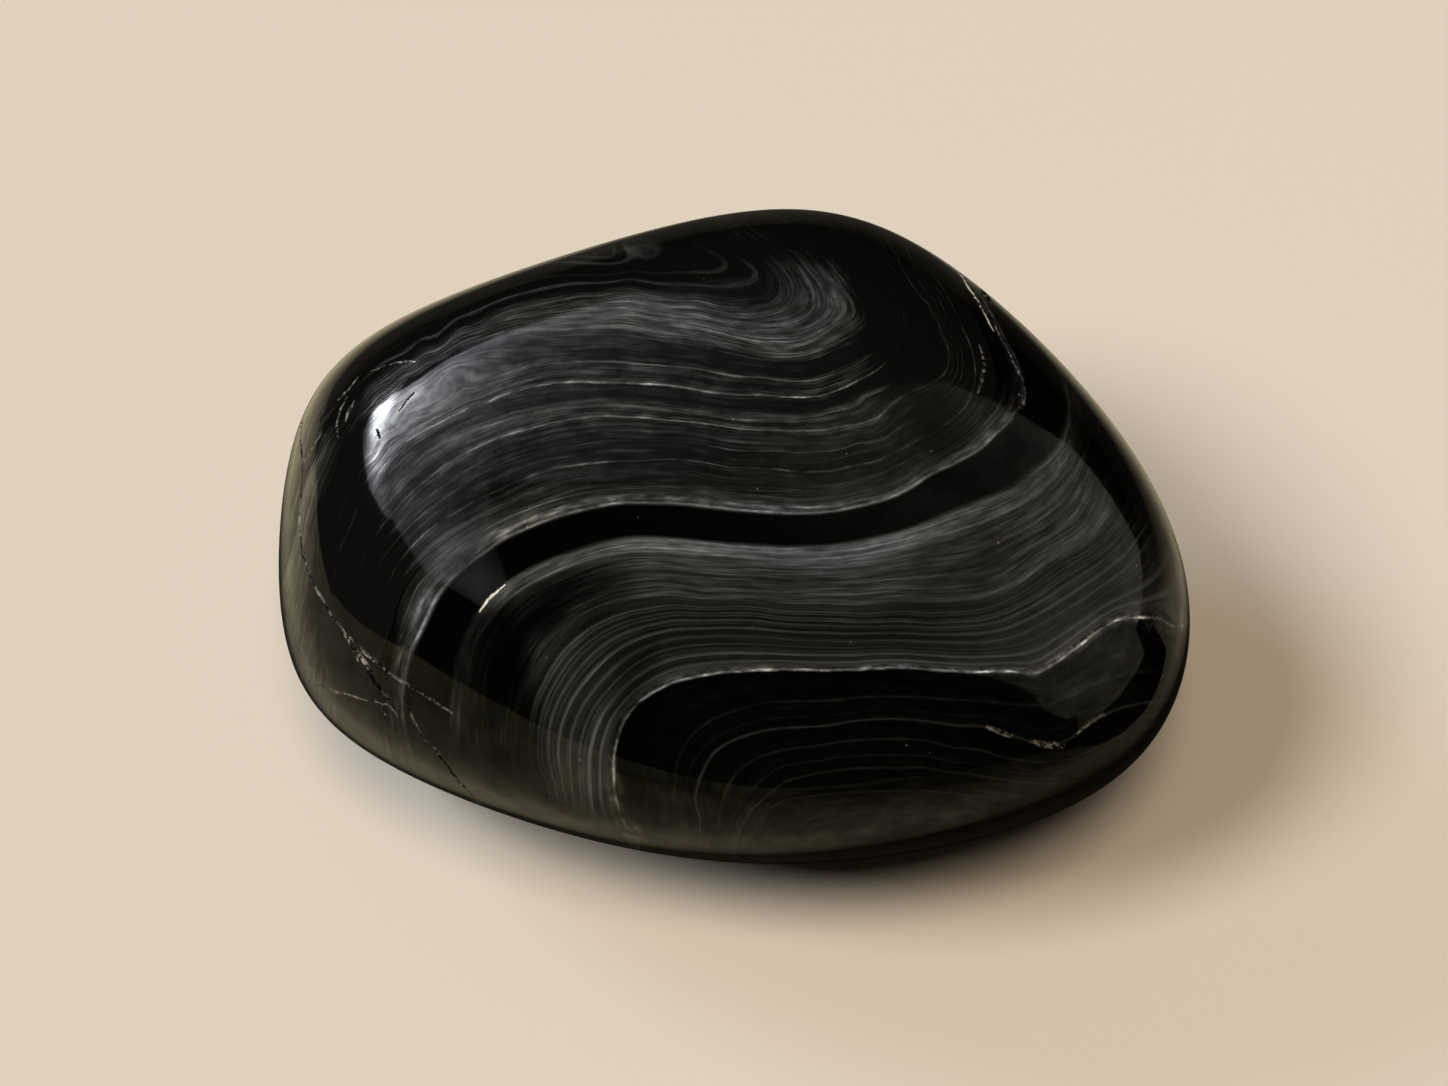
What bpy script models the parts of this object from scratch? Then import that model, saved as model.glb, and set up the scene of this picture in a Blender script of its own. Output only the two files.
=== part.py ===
"""A polished black onyx: one tumbled stone, ground and polished all over.

The stone is one solid. Its form is a rounded block, taken down by a few broad worn faces that run into
each other over wide, soft edges. The flat on the underside is what it rests on.

Metres, +Z up. The origin is on the resting plane, near the middle of that flat. +X runs along the
stone's longest side, and -Y is its lower front.
"""

import math

import bmesh
import bpy
from mathutils import Matrix, Vector

NODE_NAME = "stone"

# The point inside the stone that every distance below is measured from.
HEART = Vector((-0.0009, 0.0, 0.0164))

# The rounded block: half its length, depth and height, and how it leans, in degrees.
BLOCK_HALF_SIZES = (0.0348, 0.0288, 0.0206)
BLOCK_TURN = -20.0
BLOCK_SIDE_TILT = 3.0
BLOCK_BACK_TILT = 6.0

# The worn faces: bearing (0 to the front, 90 to the right), lift above the level, both in degrees, and
# the distance of the face from the heart.
WORN_FACES = {
    "underside": (0.0, -90.0, 0.0175),
    "top": (0.0, 76.0, 0.0186),
    "upper_left_back": (-153.0, 45.0, 0.0225),
    "right_back": (122.0, 33.0, 0.0263),
    "front_left": (-25.0, -45.0, 0.0213),
    "front_right": (12.0, -47.0, 0.0218),
    "low_right": (60.0, -40.0, 0.0310),
    "left": (-95.0, 0.0, 0.0304),
    "right": (95.0, 0.0, 0.0336),
    "back": (172.0, -8.0, 0.0265),
}

# How crisply the worn faces meet: 2 would melt them into one egg, 20 would leave sharp edges.
EDGE_CRISPNESS = 8.0

# Facets along each edge of the cube that the round surface is spread from.
CELLS = 27

# Points this near the resting plane are put on it, so that the flat's rim has no slivers.
RIM_SNAP = 0.00012

BLACK_ONYX = (0.014, 0.014, 0.013, 1.0)
POLISH_ROUGHNESS = 0.08
AGATE_IOR = 1.54


def clear_scene():
    for obj in list(bpy.data.objects):
        bpy.data.objects.remove(obj, do_unlink=True)


def direction(bearing, lift):
    """The unit vector at a bearing and a lift, both in degrees."""
    around = math.radians(bearing)
    above = math.radians(lift)
    return Vector((math.sin(around) * math.cos(above), -math.cos(around) * math.cos(above), math.sin(above)))


def block_turn():
    turn = Matrix.Rotation(math.radians(BLOCK_TURN), 3, "Z")
    side_tilt = Matrix.Rotation(math.radians(BLOCK_SIDE_TILT), 3, "Y")
    back_tilt = Matrix.Rotation(math.radians(BLOCK_BACK_TILT), 3, "X")
    return turn @ side_tilt @ back_tilt


def surface_distance(outward, into_block, faces):
    """How far the surface lies from the heart along the unit vector outward.

    Each form alone would put the surface at 1 / nearness. The power mean lets the nearest form rule and
    rounds the stretch where two of them are about as near.
    """
    in_block = into_block @ outward
    block_nearness = math.sqrt(sum((part / half) ** 2 for part, half in zip(in_block, BLOCK_HALF_SIZES)))
    total = block_nearness**EDGE_CRISPNESS
    for normal, distance in faces:
        nearness = max(0.0, outward.dot(normal)) / distance
        total += nearness**EDGE_CRISPNESS
    return total ** (-1.0 / EDGE_CRISPNESS)


def spread_cube():
    """A cube split into CELLS by CELLS squares on each side, spread so that all cover equal angles."""
    grid = bmesh.new()
    bmesh.ops.create_cube(grid, size=2.0)
    bmesh.ops.subdivide_edges(grid, edges=grid.edges[:], cuts=CELLS - 1, use_grid_fill=True)
    for vert in grid.verts:
        vert.co = Vector(math.tan(part * math.pi / 4.0) for part in vert.co)
    return grid


def shape_stone(grid):
    """Moves each point of the cube out to the stone's surface."""
    into_block = block_turn().transposed()
    faces = [(direction(bearing, lift), distance) for bearing, lift, distance in WORN_FACES.values()]
    for vert in grid.verts:
        outward = vert.co.normalized()
        point = HEART + outward * surface_distance(outward, into_block, faces)
        if abs(point.z) < RIM_SNAP:
            point.z = 0.0
        vert.co = point


def grind_resting_flat(grid):
    """Cuts the stone off at the resting plane, and closes the cut with one flat face."""
    geometry = grid.verts[:] + grid.edges[:] + grid.faces[:]
    bmesh.ops.bisect_plane(
        grid, geom=geometry, dist=1e-7, plane_co=(0, 0, 0), plane_no=(0, 0, -1), clear_outer=True
    )
    rim = [edge for edge in grid.edges if edge.is_boundary]
    flat = bmesh.ops.contextual_create(grid, geom=rim)["faces"][0]
    flat.smooth = False
    bmesh.ops.recalc_face_normals(grid, faces=grid.faces[:])


def onyx_material():
    material = bpy.data.materials.new("polished_black_onyx")
    material.use_nodes = True
    shader = material.node_tree.nodes["Principled BSDF"]
    shader.inputs["Base Color"].default_value = BLACK_ONYX
    shader.inputs["Roughness"].default_value = POLISH_ROUGHNESS
    shader.inputs["Metallic"].default_value = 0.0
    shader.inputs["IOR"].default_value = AGATE_IOR
    material.diffuse_color = BLACK_ONYX
    return material


def build_stone():
    grid = spread_cube()
    shape_stone(grid)
    for face in grid.faces:
        face.smooth = True
    grind_resting_flat(grid)
    mesh = bpy.data.meshes.new(NODE_NAME)
    grid.to_mesh(mesh)
    grid.free()
    mesh.materials.append(onyx_material())
    stone = bpy.data.objects.new(NODE_NAME, mesh)
    bpy.context.scene.collection.objects.link(stone)
    return stone


clear_scene()
build_stone()
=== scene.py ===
"""Dresses the polished black onyx: the stone's full form, its layers, its cracks and its polish.

The stone is one piece. Its form follows the same rule as the CAD solid, on a much finer grid. Its layers
follow guide lines that are drawn on a flat sheet, as a lapidary would draw them on the sawn face, and
that are carried onto the stone along straight lines from one point, the eye point. Behind the stone's
turning edge the layers drift sideways, so that the back is its own cut through the same layers.

Metres, +Z up, in the frame of the CAD part. Sizes of the layers and cracks are in millimetres.
"""

import math

import bpy
import numpy as np
from mathutils import Euler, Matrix, Vector, kdtree, noise
from mathutils.bvhtree import BVHTree

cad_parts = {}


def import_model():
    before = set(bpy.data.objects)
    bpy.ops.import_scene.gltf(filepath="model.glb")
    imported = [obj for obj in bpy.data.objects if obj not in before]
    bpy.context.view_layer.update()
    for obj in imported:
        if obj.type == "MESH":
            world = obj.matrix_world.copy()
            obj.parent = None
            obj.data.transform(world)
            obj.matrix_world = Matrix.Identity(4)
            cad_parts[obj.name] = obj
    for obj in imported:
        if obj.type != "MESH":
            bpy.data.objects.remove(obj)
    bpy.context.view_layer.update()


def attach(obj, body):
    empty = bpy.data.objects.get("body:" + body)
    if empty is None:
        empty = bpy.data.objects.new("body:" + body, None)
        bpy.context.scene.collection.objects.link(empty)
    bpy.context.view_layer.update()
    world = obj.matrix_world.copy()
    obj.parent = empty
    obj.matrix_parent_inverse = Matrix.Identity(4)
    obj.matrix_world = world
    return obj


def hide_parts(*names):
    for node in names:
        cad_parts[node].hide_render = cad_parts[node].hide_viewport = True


MM = 0.001

# ---------------------------------------------------------------- form, as in the CAD part

# The block lies round the heart of the stone. Each worn face has its bearing and lift in degrees, and its
# distance from the heart in metres. A higher crispness gives sharper turns between the faces.
HEART = Vector((-0.0009, 0.0, 0.0164))
BLOCK_HALF_SIZES = Vector((0.0348, 0.0288, 0.0206))
BLOCK_LEAN = Euler((math.radians(6.0), math.radians(3.0), math.radians(-20.0)), "XYZ")
EDGE_CRISPNESS = 8.0
WORN_FACES = {
    "underside": (0.0, -90.0, 0.0175),
    "top": (0.0, 76.0, 0.0186),
    "upper_left_back": (-153.0, 45.0, 0.0225),
    "right_back": (122.0, 33.0, 0.0263),
    "front_left": (-25.0, -45.0, 0.0213),
    "front_right": (12.0, -47.0, 0.0218),
    "low_right": (60.0, -40.0, 0.0310),
    "left": (-95.0, 0.0, 0.0304),
    "right": (95.0, 0.0, 0.0336),
    "back": (172.0, -8.0, 0.0265),
}

# Cells along each edge of the cube that the surface is spread from. It is even, so that no face
# crosses a fold of the bake map.
CELLS = 76

# How much of the bake map the unfolded stone takes up, from the middle to each side.
MAP_HALF_SIZE = 0.497

# ---------------------------------------------------------------- camera and drawing sheet

LOOK_AT = Vector((0.0, 0.0, 0.0166))
CAMERA_LIFT = math.radians(43.0)
LENS = 100.0
SENSOR = 36.0
CAMERA_DISTANCE = 0.0965 * LENS / SENSOR
EYE = LOOK_AT + CAMERA_DISTANCE * Vector((0.0, -math.cos(CAMERA_LIFT), math.sin(CAMERA_LIFT)))
CLIP_START = 0.01
CLIP_END = 20.0
IMAGE_WIDTH = 1448.0
IMAGE_HEIGHT = 1086.0

# The drawing sheet: the point of it that lies on the line from the eye to LOOK_AT, and how many of its
# units make a millimetre where it passes through LOOK_AT.
SHEET_MIDDLE = (735.0, 545.0)
SHEET_UNITS_PER_MM = 15.0

# ---------------------------------------------------------------- layers

# Guide lines of the layers on the drawing sheet. Each has its level, in millimetres of stone outward
# from the middle of the black core, then its points.
GUIDE_LINES = {
    "core_middle": (0, ((820, 832), (880, 830), (940, 826))),
    "core_vein_1": (1, ((800, 822), (830, 814), (857, 812), (900, 811), (985, 815))),
    "core_vein_2": (2.3, ((763, 812), (783, 800), (820, 795), (900, 790), (950, 792), (1000, 797),
        (1060, 800))),
    "core_vein_3": (3.9, ((745, 820), (757, 806), (772, 793), (800, 778), (833, 771), (857, 768),
        (900, 768), (950, 772))),
    "core_vein_4": (4.7, ((735, 813), (743, 800), (755, 785), (777, 768), (800, 762), (840, 757),
        (900, 755), (933, 757), (970, 763))),
    "core_vein_5": (5.8, ((722, 805), (726, 790), (733, 778), (743, 767), (757, 758), (777, 752),
        (800, 748), (880, 739), (907, 739), (940, 744), (953, 748), (1000, 757))),
    "core_beads": (7.13, ((695, 798), (703, 772), (710, 757), (720, 747), (740, 737), (760, 731),
        (780, 728), (830, 725), (860, 720), (900, 719), (987, 727), (1000, 733), (1017, 737),
        (1033, 743), (1047, 744), (1063, 741), (1077, 733), (1087, 724), (1115, 710), (1135, 704),
        (1160, 700))),
    "core_vein_6": (7.7, ((685, 803), (689, 770))),
    "core_vein_7": (8.6, ((680, 810), (676, 780), (682, 752), (705, 725), (740, 710), (833, 700),
        (900, 697), (967, 700), (1033, 705), (1060, 700), (1090, 686), (1120, 676), (1150, 672))),
    "core_rim": (10.5, ((638, 845), (623, 825), (617, 807), (613, 790), (613, 753), (623, 720),
        (637, 703), (650, 693), (670, 683), (693, 676), (740, 670), (800, 669), (860, 669), (900, 667),
        (983, 671), (1013, 671), (1033, 673), (1100, 628), (1117, 619), (1150, 616), (1163, 618),
        (1177, 626))),
    "arc_12": (12, ((583, 812), (580, 780), (584, 730), (594, 708), (608, 690), (628, 670), (652, 655),
        (680, 647), (720, 644), (800, 647), (870, 647), (930, 648), (1005, 647), (1037, 637),
        (1087, 607), (1117, 587), (1145, 565), (1157, 545))),
    "arc_outer": (14.6, ((545, 815), (537, 783), (530, 773), (528, 753), (528, 733), (537, 693),
        (547, 673), (560, 653), (577, 637), (597, 623), (623, 612), (650, 607), (687, 605), (760, 607),
        (820, 611), (870, 613), (930, 613), (970, 610), (990, 606), (1007, 599), (1060, 565),
        (1093, 545), (1112, 527), (1125, 505))),
    "grey_lower": (15.3, ((640, 594), (670, 592), (700, 596), (780, 600), (830, 601), (880, 600),
        (930, 599), (965, 597), (987, 594), (1007, 586), (1083, 538), (1103, 515), (1110, 490))),
    "ribbon_lower": (18.6, ((464, 790), (456, 765), (452, 738), (452, 710), (454, 690), (462, 645),
        (470, 626), (480, 611), (490, 600), (512, 581), (570, 553), (603, 543), (640, 538), (670, 539),
        (733, 545), (767, 547), (817, 547), (860, 542), (900, 533), (980, 502), (1020, 483),
        (1033, 472), (1047, 460), (1060, 445), (1066, 425), (1067, 400), (1060, 377), (1050, 357),
        (1035, 338), (1015, 318))),
    "ribbon_upper": (21.1, ((412, 755), (404, 725), (402, 700), (423, 623), (430, 608), (450, 580),
        (483, 552), (503, 538), (530, 526), (560, 515), (590, 507), (623, 502), (680, 503), (720, 507),
        (810, 512), (840, 509), (860, 505), (933, 472), (960, 460), (995, 433), (1007, 422),
        (1015, 412), (1021, 398), (1021, 380), (1012, 352), (998, 325), (985, 303), (955, 263))),
    "left_leg_edge": (22.8, ((378, 680), (380, 655), (395, 607), (403, 587), (417, 568))),
    "hairline_24": (24, ((372, 632), (380, 605), (390, 582), (400, 563), (413, 547), (440, 523),
        (450, 517), (503, 490), (537, 475), (570, 467), (600, 463), (637, 462), (727, 468), (800, 473),
        (830, 472), (870, 464), (900, 452), (930, 437), (953, 420), (967, 407))),
    "hairline_25": (25, ((480, 478), (505, 465), (540, 453), (580, 447), (637, 442), (700, 446),
        (780, 453), (820, 454), (860, 445), (900, 429), (920, 418), (938, 405), (953, 392), (962, 380),
        (963, 362), (955, 335), (945, 310), (930, 285), (913, 262))),
    "hairline_26": (26.4, ((343, 622), (350, 592), (362, 560), (377, 534), (390, 517), (405, 500),
        (430, 477), (450, 463), (483, 445), (530, 429), (560, 421), (600, 416), (637, 417), (700, 423),
        (733, 428), (800, 431), (830, 430), (860, 424), (880, 416), (933, 383), (945, 374), (950, 362),
        (948, 345), (940, 325), (928, 303), (898, 258))),
    "hairline_27": (27.2, ((735, 417), (797, 418), (813, 417), (833, 412), (867, 397), (900, 380),
        (915, 369), (925, 357), (928, 343), (924, 325), (912, 302), (887, 263))),
    "hairline_28": (28.7, ((328, 602), (335, 570), (346, 535), (358, 505), (372, 480), (390, 457),
        (410, 439), (430, 427), (450, 416), (470, 407), (503, 394), (530, 387), (600, 382), (637, 383),
        (700, 390), (743, 394), (800, 397), (820, 395), (845, 387), (870, 374), (893, 353), (904, 333),
        (902, 312), (892, 290), (866, 250))),
    "hairline_29": (29.9, ((325, 560), (340, 515), (355, 485), (375, 455), (400, 430), (425, 412),
        (437, 405), (450, 398), (475, 386), (497, 377), (517, 370), (560, 362), (630, 363), (700, 369),
        (760, 377))),
    "hairline_30": (30.8, ((780, 369), (800, 369), (817, 366), (840, 357), (862, 346), (877, 332),
        (880, 317), (874, 300), (864, 283))),
    "brushed_lower": (31.7, ((313, 530), (325, 490), (340, 455), (358, 425), (380, 400), (405, 380),
        (430, 365), (448, 356), (467, 348), (483, 342), (500, 338), (530, 334), (600, 331), (630, 332),
        (657, 337), (700, 342), (760, 356), (780, 358), (800, 357), (817, 352), (840, 341), (857, 331),
        (867, 322), (868, 308), (860, 295), (828, 252))),
    "nose_mid": (33, ((600, 315), (660, 318), (720, 328), (770, 334), (800, 332), (822, 322),
        (832, 310), (830, 296), (822, 282), (810, 266), (795, 250))),
    "brushed_upper": (34.6, ((300, 530), (308, 490), (322, 455), (340, 425), (362, 400), (387, 378),
        (413, 362), (440, 349), (477, 328), (560, 302), (580, 298), (623, 295), (700, 302), (720, 307),
        (743, 308), (767, 305), (777, 300), (782, 293), (782, 283), (777, 272), (767, 261), (753, 250),
        (737, 241))),
    "hook_outer": (36.2, ((320, 425), (345, 396), (380, 366), (420, 340), (460, 318), (500, 301),
        (543, 289), (580, 284), (623, 281), (700, 286), (733, 286), (750, 283), (757, 277), (757, 271),
        (752, 265), (718, 243))),
    "hook_inner": (37.2, ((420, 330), (470, 303), (520, 285), (570, 275), (630, 271), (700, 273),
        (717, 272), (725, 268), (726, 262), (720, 256), (698, 243))),
    "eye": (38.4, ((548, 262), (588, 263), (624, 262), (647, 258), (655, 253), (647, 248), (624, 246))),
    "eye_middle": (39, ((562, 254), (610, 253))),
}

# How loosely the layers keep to their guide lines: 0 passes through every point.
GUIDE_SLACK = 0.02

# How many points of the stone are laid out at once, to spare memory.
ROWS_AT_ONCE = 20000

# How far the layers drift, in millimetres, and turn, in degrees, on the side turned fully away.
BACK_DRIFT = (7.0, -5.0)
BACK_TURN = 24.0

# ---------------------------------------------------------------- tones of the layers

# Tone against level, in millimetres, for each stretch of layers: the share of light the stone gives back.
CORE_TONES = (
    (0.0, 0.0012), (0.9, 0.0012), (1.0, 0.004), (1.1, 0.0012), (2.2, 0.0012), (2.3, 0.005),
    (2.42, 0.0012), (3.75, 0.0012), (3.9, 0.005), (4.02, 0.0012), (4.6, 0.0012), (4.7, 0.005),
    (4.82, 0.0012), (5.7, 0.0012), (5.8, 0.007), (5.92, 0.0012), (7.02, 0.0009), (7.12, 0.014),
    (7.22, 0.0012), (7.65, 0.0009), (7.7, 0.003), (7.78, 0.0009), (8.5, 0.0009), (8.6, 0.005),
    (8.72, 0.0009), (10.52, 0.0009), (10.60, 0.022), (10.72, 0.024),
)
ARC_TONES = (
    (10.72, 0.024), (10.90, 0.017), (10.96, 0.040), (11.04, 0.028), (11.10, 0.008), (11.36, 0.009),
    (11.42, 0.037), (11.52, 0.025), (11.60, 0.008), (11.80, 0.012), (11.88, 0.005), (12.02, 0.016),
    (12.10, 0.005), (12.42, 0.008), (12.48, 0.020), (12.58, 0.010), (12.68, 0.005), (12.80, 0.005),
)
OUTER_ARC_TONES = (
    (12.80, 0.004), (12.96, 0.006), (13.03, 0.030), (13.12, 0.018), (13.19, 0.004), (13.30, 0.005),
    (13.38, 0.012), (13.44, 0.005), (13.54, 0.018), (13.62, 0.026), (13.70, 0.005), (13.84, 0.006),
    (13.92, 0.024), (14.00, 0.005), (14.10, 0.022), (14.17, 0.005), (14.30, 0.005), (14.38, 0.018),
    (14.45, 0.005), (14.55, 0.030), (14.63, 0.007), (14.8, 0.007), (15.0, 0.012),
)
GREY_TONES = (
    (15.0, 0.012), (15.3, 0.028), (15.45, 0.024), (15.55, 0.013), (15.68, 0.028), (15.9, 0.018),
    (16.35, 0.025), (16.55, 0.013), (16.7, 0.022), (17.0, 0.022), (17.3, 0.032), (17.5, 0.023),
    (17.6, 0.026), (17.70, 0.028), (17.82, 0.060), (17.95, 0.082), (18.15, 0.072), (18.25, 0.084),
    (18.45, 0.074), (18.56, 0.052), (18.66, 0.024), (18.74, 0.010), (18.82, 0.0008),
)
LOWER_HAIRLINE_TONES = (
    (20.80, 0.0008), (20.90, 0.008), (20.98, 0.05), (21.04, 0.12), (21.10, 0.09), (21.18, 0.032),
    (21.45, 0.050), (21.6, 0.034), (21.8, 0.011), (22.2, 0.012), (22.45, 0.008), (22.7, 0.003),
    (23.1, 0.006), (23.3, 0.004), (23.5, 0.0012), (23.98, 0.003), (24.04, 0.019), (24.08, 0.019),
    (24.13, 0.002), (24.45, 0.002), (24.65, 0.006), (24.8, 0.0014), (25.05, 0.0014), (25.09, 0.018),
    (25.12, 0.018), (25.17, 0.003), (25.45, 0.004), (25.6, 0.012), (25.8, 0.006), (26.0, 0.008),
    (26.2, 0.009),
)
UPPER_HAIRLINE_TONES = (
    (26.2, 0.009), (26.34, 0.010), (26.38, 0.078), (26.43, 0.078), (26.48, 0.018), (26.65, 0.010),
    (26.9, 0.011), (27.15, 0.020), (27.4, 0.016), (27.55, 0.004), (27.8, 0.002), (28.35, 0.002),
    (28.58, 0.005), (28.63, 0.10), (28.68, 0.10), (28.74, 0.015), (28.95, 0.008), (29.15, 0.014),
    (29.3, 0.007), (29.6, 0.010), (29.81, 0.010), (29.85, 0.055), (29.90, 0.045), (29.95, 0.010),
    (30.15, 0.004), (30.5, 0.003), (31.1, 0.002), (31.3, 0.004), (31.45, 0.007), (31.6, 0.009),
    (31.75, 0.022), (32.1, 0.028),
)
BRUSHED_TONES = (
    (32.1, 0.028), (32.4, 0.032), (32.7, 0.030), (33.6, 0.036), (34.2, 0.032), (34.6, 0.024),
    (34.85, 0.027), (35.05, 0.016), (35.3, 0.006), (35.6, 0.003), (36.05, 0.002), (36.14, 0.014),
    (36.34, 0.016), (36.46, 0.0014), (37.08, 0.0010), (37.16, 0.008), (37.28, 0.008), (37.36, 0.0010),
    (38.15, 0.0010), (38.30, 0.007), (38.40, 0.007), (38.52, 0.0010), (38.75, 0.0010), (38.85, 0.006),
    (38.95, 0.0010), (40.0, 0.0010),
)
TONE_STRETCHES = (
    CORE_TONES,
    ARC_TONES,
    OUTER_ARC_TONES,
    GREY_TONES,
    LOWER_HAIRLINE_TONES,
    UPPER_HAIRLINE_TONES,
    BRUSHED_TONES,
)

# The thin bright rim of the core, as (millimetres outward from its level, tone).
RIM_LEVEL = 10.46
RIM_TONES = (
    (-0.13, 0.0), (-0.07, 0.05), (-0.01, 0.135), (0.05, 0.115), (0.11, 0.03), (0.24, 0.0),
)

# How strongly the polished surface shines at each level. The black layers are glassier and clearer
# than the grey ones, and give back less of what stands around them.
SHINE = (
    (0.0, 0.12), (10.25, 0.12), (10.4, 0.50), (10.6, 0.50), (10.7, 0.17), (14.9, 0.17), (15.2, 0.50),
    (18.6, 0.50), (18.75, 0.12), (20.93, 0.12), (21.05, 0.50), (22.3, 0.50), (22.7, 0.42), (23.5, 0.34),
    (26.0, 0.34), (26.3, 0.50), (27.4, 0.50), (27.6, 0.38), (28.4, 0.38), (28.6, 0.50), (30.0, 0.50),
    (30.3, 0.42), (31.3, 0.42), (31.7, 0.60), (34.9, 0.60), (35.3, 0.12), (40.0, 0.12),
)

# The step over which the climb of the layers is measured.
PACE_STEP = 0.2

# How lively each stretch is, in doublings of light from its dimmest to its brightest spot:
# level, long streaks, dashes, fine brushing.
LIVELINESS = (
    (0.0, 1.2, 2.0, 0.0), (10.2, 1.2, 2.0, 0.0), (10.34, 0.5, 8.0, 0.0), (10.6, 1.0, 8.0, 0.0),
    (10.7, 1.5, 0.8, 0.5), (14.9, 1.5, 0.8, 0.6), (15.2, 2.0, 0.6, 2.2), (17.7, 2.2, 0.8, 2.0),
    (17.85, 2.4, 1.6, 1.6), (18.65, 2.4, 2.0, 1.2), (18.8, 0.0, 0.0, 0.0), (20.9, 0.0, 0.0, 0.0),
    (21.0, 1.0, 5.0, 0.5), (21.7, 1.5, 4.0, 1.5), (21.9, 2.4, 1.8, 2.0), (23.9, 2.8, 2.2, 2.0),
    (24.0, 2.0, 7.0, 0.5), (24.2, 2.8, 2.5, 2.0), (26.2, 3.0, 2.5, 2.0), (26.35, 1.5, 5.0, 1.0),
    (26.7, 3.2, 2.5, 2.4), (28.4, 3.2, 2.5, 2.4), (28.6, 1.6, 7.0, 1.0), (28.85, 3.2, 3.0, 2.4),
    (31.5, 3.2, 3.0, 2.4), (32.0, 3.0, 2.4, 2.6), (34.9, 3.0, 2.4, 2.6), (35.3, 2.0, 2.0, 2.0),
    (37.0, 2.0, 2.0, 1.5), (40.0, 1.5, 1.5, 1.0),
)

# Soft patches of the drawing sheet where the layers fade or stand out, and a few of painted light: a
# painted highlight on the ribbon and painted shade along the front foot. Each has its middle, reach along
# and across, turn in degrees, and the gain in the middle.
PATCHES = {
    "faded_right_of_the_nose": ((897, 330), (125, 40), -66, 0.05),
    "faded_nose_back": ((775, 237), (92, 27), 0, 0.08),
    "plain_end_of_the_ribbon": ((458, 722), (58, 17), 95, 0.3),
    "faint_top_left": ((400, 305), (150, 30), 27, 0.25),
    "plain_right_shoulder": ((1108, 440), (120, 34), -57, 0.08),
    "bent_hooks": ((742, 272), (26, 22), 0, 3.2),
    "eye_ends": ((588, 257), (58, 10), 9, 4.6),
    "upper_end_of_the_inner_hook": ((708, 250), (22, 9), -34, 3.5),
    "black_below_the_ribbon": ((494, 690), (150, 38), 101, 0.05),
    "dim_lower_ribbon": ((560, 575), (60, 30), 30, 0.6),
    # A painted highlight: the ribbon's edge made five times brighter, in tone and in shine.
    "painted_highlight_on_the_ribbon": ((490, 600), (28, 10), 44, 5.0),
    "clear_left_leg": ((415, 620), (70, 22), 65, 1.8),
    "black_left_end": ((345, 520), (170, 46), 95, 0.08),
    "plain_left_foot": ((335, 655), (95, 68), -40, 0.10),
    # Painted shade along the foot: tone and shine dimmed where the polish shows the floor in the stone's
    # shadow.
    "painted_shade_at_the_front_foot": ((452, 785), (115, 46), -26, 0.06),
    "painted_shade_at_the_low_front": ((600, 845), (110, 34), -14, 0.2),
    "clear_arcs": ((572, 715), (105, 48), 98, 1.7),
    "bright_core_end": ((1098, 666), (50, 44), 0, 2.2),
    "dim_rim_of_the_core": ((626, 750), (100, 24), 80, 0.4),
    "plain_grey_above_the_ribbon": ((500, 515), (112, 22), 28, 3.4),
    "faint_lines_on_the_left": ((512, 447), (104, 15), 24, 0.6),
    "faint_lines_on_the_right": ((985, 368), (72, 24), -62, 0.4),
    "faint_lines_by_the_nose": ((893, 322), (48, 26), -66, 0.45),
    "faint_ribbon_edge_on_the_right": ((925, 465), (90, 15), 33, 0.6),
    "dull_grey_on_the_right": ((1020, 515), (155, 52), 40, 0.42),
    "bright_smudge_on_the_right": ((932, 392), (46, 15), 38, 2.6),
    "dull_nose": ((772, 283), (56, 42), 0, 0.42),
    "bright_tip_of_the_nose": ((852, 305), (40, 18), -60, 2.0),
    "dull_brushing_on_the_left": ((500, 345), (100, 26), 20, 0.6),
    "dull_scuffed_rim": ((312, 450), (75, 22), 80, 8.0),
    "dark_left_of_the_arcs": ((526, 645), (66, 22), 58, 0.2),
    "faint_upper_end_of_the_ribbon": ((1006, 362), (78, 20), -64, 0.16),
    "dark_corner_below_the_ribbon": ((562, 602), (74, 27), 20, 0.22),
    "smoky_foot_of_the_gleam": ((424, 462), (36, 24), 45, 0.4),
}
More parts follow.
